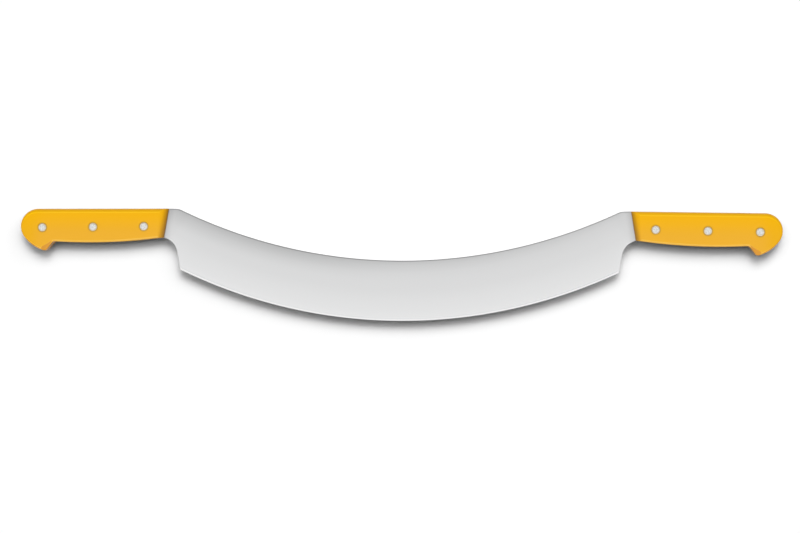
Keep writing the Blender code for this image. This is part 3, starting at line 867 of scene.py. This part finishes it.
plasticLook = {
    "topTone": (0.92, 0.468, 0.006, 1), "lowTone": (0.862, 0.443, 0.031, 1), "toneSpan": (0.026, 0.046),
    "buttTone": (1.0, 1.0, 0.35, 1), "buttSpan": (0.110, 0.126),
    "bandShade": (0.88, 0.72, 0.80, 1), "bandEdgeShade": (0.66, 0.72, 1.0, 1),  # painted shade on the ground front end, darkest at its edge by the steel
    "bandSpan": (-0.001, 0.0055), "bandEdgeSpan": (0.0, 0.0050),
    "rivetRingShade": (0.76, 0.80, 1.6, 1), "rivetReach": 0.0020,  # painted shade in a ring round each rivet head
    "paintedHighlightTone": (1.08, 1.22, 2.6, 1),  # painted highlight lines along the rims' inner borders
    # painted shade on the hook's facet, which faces down and aside
    "facetShade": (0.90, 0.79, 1.5, 1),
    # how far a face leans, which places the painted shade and highlights: Tilt is along the knife, Up towards
    # the handles' tops, Down towards the edge
    "frontTilt": (0.05, 0.3), "paintedHighlightTilt": (0.12, 0.3), "facetTilt": (0.15, 0.3), "facetDown": (0.25, 0.4),
    "paintedHighlightUp": ((0.06, 0.14), (0.24, 0.36)), "paintedHighlightDown": ((0.06, 0.2), (0.75, 0.95)),
    "mottleSize": 0.016, "mottle": 0.02, "mottleDetail": 3.0, "mottleContrast": 0.6,
    "grainSize": 0.0006, "grainDepth": 4e-6, "roughness": (0.34, 0.42), "specular": 0.2,
}


def between(value, spans):  # 1 between a rise over the first span and a fall over the second
    rise, fall = spans
    return value.ramp(*rise) * (1 - value.ramp(*fall))


def makePlastic():
    made, wire, place = startMaterial("mouldedPlastic")
    x, y, _ = place.parts()
    colour = y.ramp(*plasticLook["toneSpan"]).blend(plasticLook["lowTone"], plasticLook["topTone"])
    faceX, faceY, _ = wire.node("NewGeometry", output=1).parts()
    behind, tilted = behindFront(x, y), faceX.size().ramp(*plasticLook["frontTilt"])
    colour = colour.tintedWhere(behind.ramp(*plasticLook["buttSpan"]), plasticLook["buttTone"])
    # painted shade on the ground front end, where its face leans along the knife
    for span, tone in (("bandSpan", "bandShade"), ("bandEdgeSpan", "bandEdgeShade")):
        colour = colour.tintedWhere((1 - behind.ramp(*plasticLook[span])) * tilted, plasticLook[tone])
    # painted shade in a ring round each rivet head
    radius = rivet["headRadius"]
    ring = 1 - fromRivet(wire, x, y).ramp(radius, radius + plasticLook["rivetReach"])
    colour = colour.tintedWhere(ring, plasticLook["rivetRingShade"])
    # painted highlights where the rims begin, placed by how the face leans
    down = 0 - faceY
    paintedHighlight = between(faceY, plasticLook["paintedHighlightUp"]) + between(down, plasticLook["paintedHighlightDown"])
    paintedHighlight = paintedHighlight * (1 - faceX.size().ramp(*plasticLook["paintedHighlightTilt"]))
    colour = colour.tintedWhere(paintedHighlight, plasticLook["paintedHighlightTone"])
    # painted shade on the hook's facet, placed by how the face leans
    facet = down.ramp(*plasticLook["facetDown"]) * faceX.size().ramp(*plasticLook["facetTilt"])
    colour = colour.tintedWhere(facet, plasticLook["facetShade"])
    mottle = place.noise(
        1 / plasticLook["mottleSize"], plasticLook["mottleDetail"], plasticLook["mottleContrast"]) - 0.5
    colour = colour.tinted(1 + plasticLook["mottle"] * mottle)
    grain = place.noise(1 / plasticLook["grainSize"])
    smooth, rough = plasticLook["roughness"]
    endMaterial(wire, {
        "Base Color": colour, "Roughness": smooth + (rough - smooth) * grain,
        "Specular IOR Level": plasticLook["specular"], "Normal": grain.bump(plasticLook["grainDepth"])})
    return made


# rivet heads faced off with a file

rivetLook = {
    "darkTone": (0.68, 0.68, 0.655, 1), "lightTone": (0.93, 0.935, 0.91, 1),
    "mottleSize": 0.0012, "mottleDetail": 2.0, "mottleContrast": 0.6, "mottleSpan": (0.35, 0.65),
    # painted shade, warm-tinted, round each head's rim
    "rimShade": (0.92, 0.78, 0.56, 1), "rimWidth": 0.0016,
    "linesPerMetre": 4000, "lineLength": 0.003, "lineDepth": 1.5e-6, "roughness": (0.24, 0.36),
}


def makeRivetSteel():
    made, wire, place = startMaterial("rivetSteel")
    x, y, z = place.parts()
    mottle = place.noise(1 / rivetLook["mottleSize"], rivetLook["mottleDetail"], rivetLook["mottleContrast"])
    colour = mottle.ramp(*rivetLook["mottleSpan"]).blend(rivetLook["darkTone"], rivetLook["lightTone"])
    # painted shade round the head's rim
    rim = fromRivet(wire, x, y).ramp(rivet["headRadius"] - rivetLook["rimWidth"], rivet["headRadius"])
    colour = colour.tintedWhere(rim, rivetLook["rimShade"])
    grain = wire.joined((x + y) * rivetLook["linesPerMetre"], (x - y) * (1 / rivetLook["lineLength"]), z)
    lines = grain.noise(1.0)
    smooth, rough = rivetLook["roughness"]
    endMaterial(wire, {
        "Base Color": colour, "Metallic": 1.0, "Roughness": smooth + (rough - smooth) * lines,
        "Normal": lines.bump(rivetLook["lineDepth"])})
    return made


finishes = {"blade": makeSteel(), "scale": makePlastic(), "rivet": makeRivetSteel()}
print("materials made")

makeBlade()
makeRivets()
makeScales()


# floor, light and camera

studio = {
    "floorSide": 16.0, "floorDrop": 0.0001, "floorTone": 0.96, "floorRoughness": 0.9, "floorGlow": 0.03,
    # degrees from overhead: back is where the handles' tops point, aside is to the right
    "mainLight": {"back": 43, "aside": 6, "spread": 33, "strength": 1.85},
    "leftLight": {"back": 29, "aside": -28, "spread": 58, "strength": 1.05},
    "rightLight": {"back": 35, "aside": 46, "spread": 62, "strength": 1.62},
    "knifeLight": {"back": -5, "aside": 0, "spread": 40, "strength": 2.95},
    "shadowOf": ("ground_blade", "left_back_grip", "right_back_grip"),  # what the floor's shadow comes from
    "fill": 0.06,
    "around": [  # what the steel mirrors, from in front of the edge, over the top, to behind the handles
        (0.0, 0.50), (0.12, 0.58), (0.27, 0.83), (0.42, 0.75), (0.50, 0.68),
        (0.60, 0.60), (0.72, 0.37), (1.0, 0.27)],
    "aroundStrength": 1.35, "sideShade": 0.45, "sideSpan": (0.5, 0.95),  # darker far to the left and right
}


def makeFloorMaterial():
    made, wire, _ = startMaterial("whiteFloor")
    glow = wire.node("LightPath", output=0).blend(grey(0.0), grey(studio["floorGlow"]))  # to the camera only
    endMaterial(wire, {
        "Base Color": grey(studio["floorTone"]), "Roughness": studio["floorRoughness"],
        "Specular IOR Level": 0.0, "Emission Color": glow, "Emission Strength": 1.0})
    return made


def group(name, members):
    made = bpy.data.collections.new(name)
    for obj in members:
        made.objects.link(obj)
    return made


def addSun(name, settings, lit):
    back, aside = math.radians(settings["back"]), math.radians(settings["aside"])
    bpy.ops.object.light_add(type="SUN", rotation=(-back, aside, 0))
    lamp = bpy.context.object
    lamp.name = name
    lamp.data.energy = settings["strength"]
    lamp.data.angle = math.radians(settings["spread"])
    lamp.visible_glossy = False
    lamp.light_linking.receiver_collection = group(name + "Reach", lit)
    return lamp


def makeStudio():
    deselectAll()
    bpy.ops.mesh.primitive_plane_add(size=studio["floorSide"], location=(0, 0, -studio["floorDrop"]))
    floor = added("floor")
    floor.data.materials.append(makeFloorMaterial())
    floor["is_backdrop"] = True
    shadowing = group("shadowing", [bpy.data.objects[name] for name in studio["shadowOf"]])
    for name in ("mainLight", "leftLight", "rightLight"):
        addSun(name, studio[name], [floor]).light_linking.blocker_collection = shadowing
    addSun("knifeLight", studio["knifeLight"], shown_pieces())

    world = bpy.data.worlds.new("studio")
    bpy.context.scene.world = world
    world.use_nodes = True
    world.node_tree.nodes.clear()
    world.cycles.sampling_method = "NONE"
    wire = Wire(world.node_tree)
    x, y, _ = wire.node("TexCoord", output=0).parts()
    camera, glossy, clear = (wire.node("LightPath", output=i) for i in (0, 3, 6))
    strength = studio["aroundStrength"] * (1 - studio["sideShade"] * x.size().ramp(*studio["sideSpan"]))
    around = y.ramp(-1.0, 1.0, "LINEAR").stops(studio["around"]).tinted(strength)
    plain = glossy.blend(grey(studio["fill"]), around)
    seen = wire.maths("MAXIMUM", camera, clear)
    back = wire.node("Background", None, {"Color": seen.blend(plain, grey(1.0)), "Strength": 1.0})
    wire.node("OutputWorld", None, {"Surface": back})


view = {
    "sensor": 36.0, "lens": 108.46, "place": (0.1349, -0.0009, 2.2), "lean": 3.485, "turn": 0.435,
    "clip": (0.05, 60.0),
}


def makeCamera():
    data = bpy.data.cameras.new("camera")
    camera = bpy.data.objects.new("camera", data)
    bpy.context.scene.collection.objects.link(camera)
    data.sensor_width, data.lens = view["sensor"], view["lens"]
    data.clip_start, data.clip_end = view["clip"]
    lean = Matrix.Rotation(math.radians(view["lean"]), 4, "Y")
    turn = Matrix.Rotation(math.radians(view["turn"]), 4, "Z")
    camera.matrix_world = Matrix.Translation(view["place"]) @ lean @ turn
    bpy.context.scene.camera = camera


makeStudio()
makeCamera()
bpy.context.scene.view_settings.view_transform = "Standard"
print("floor, light and camera made")
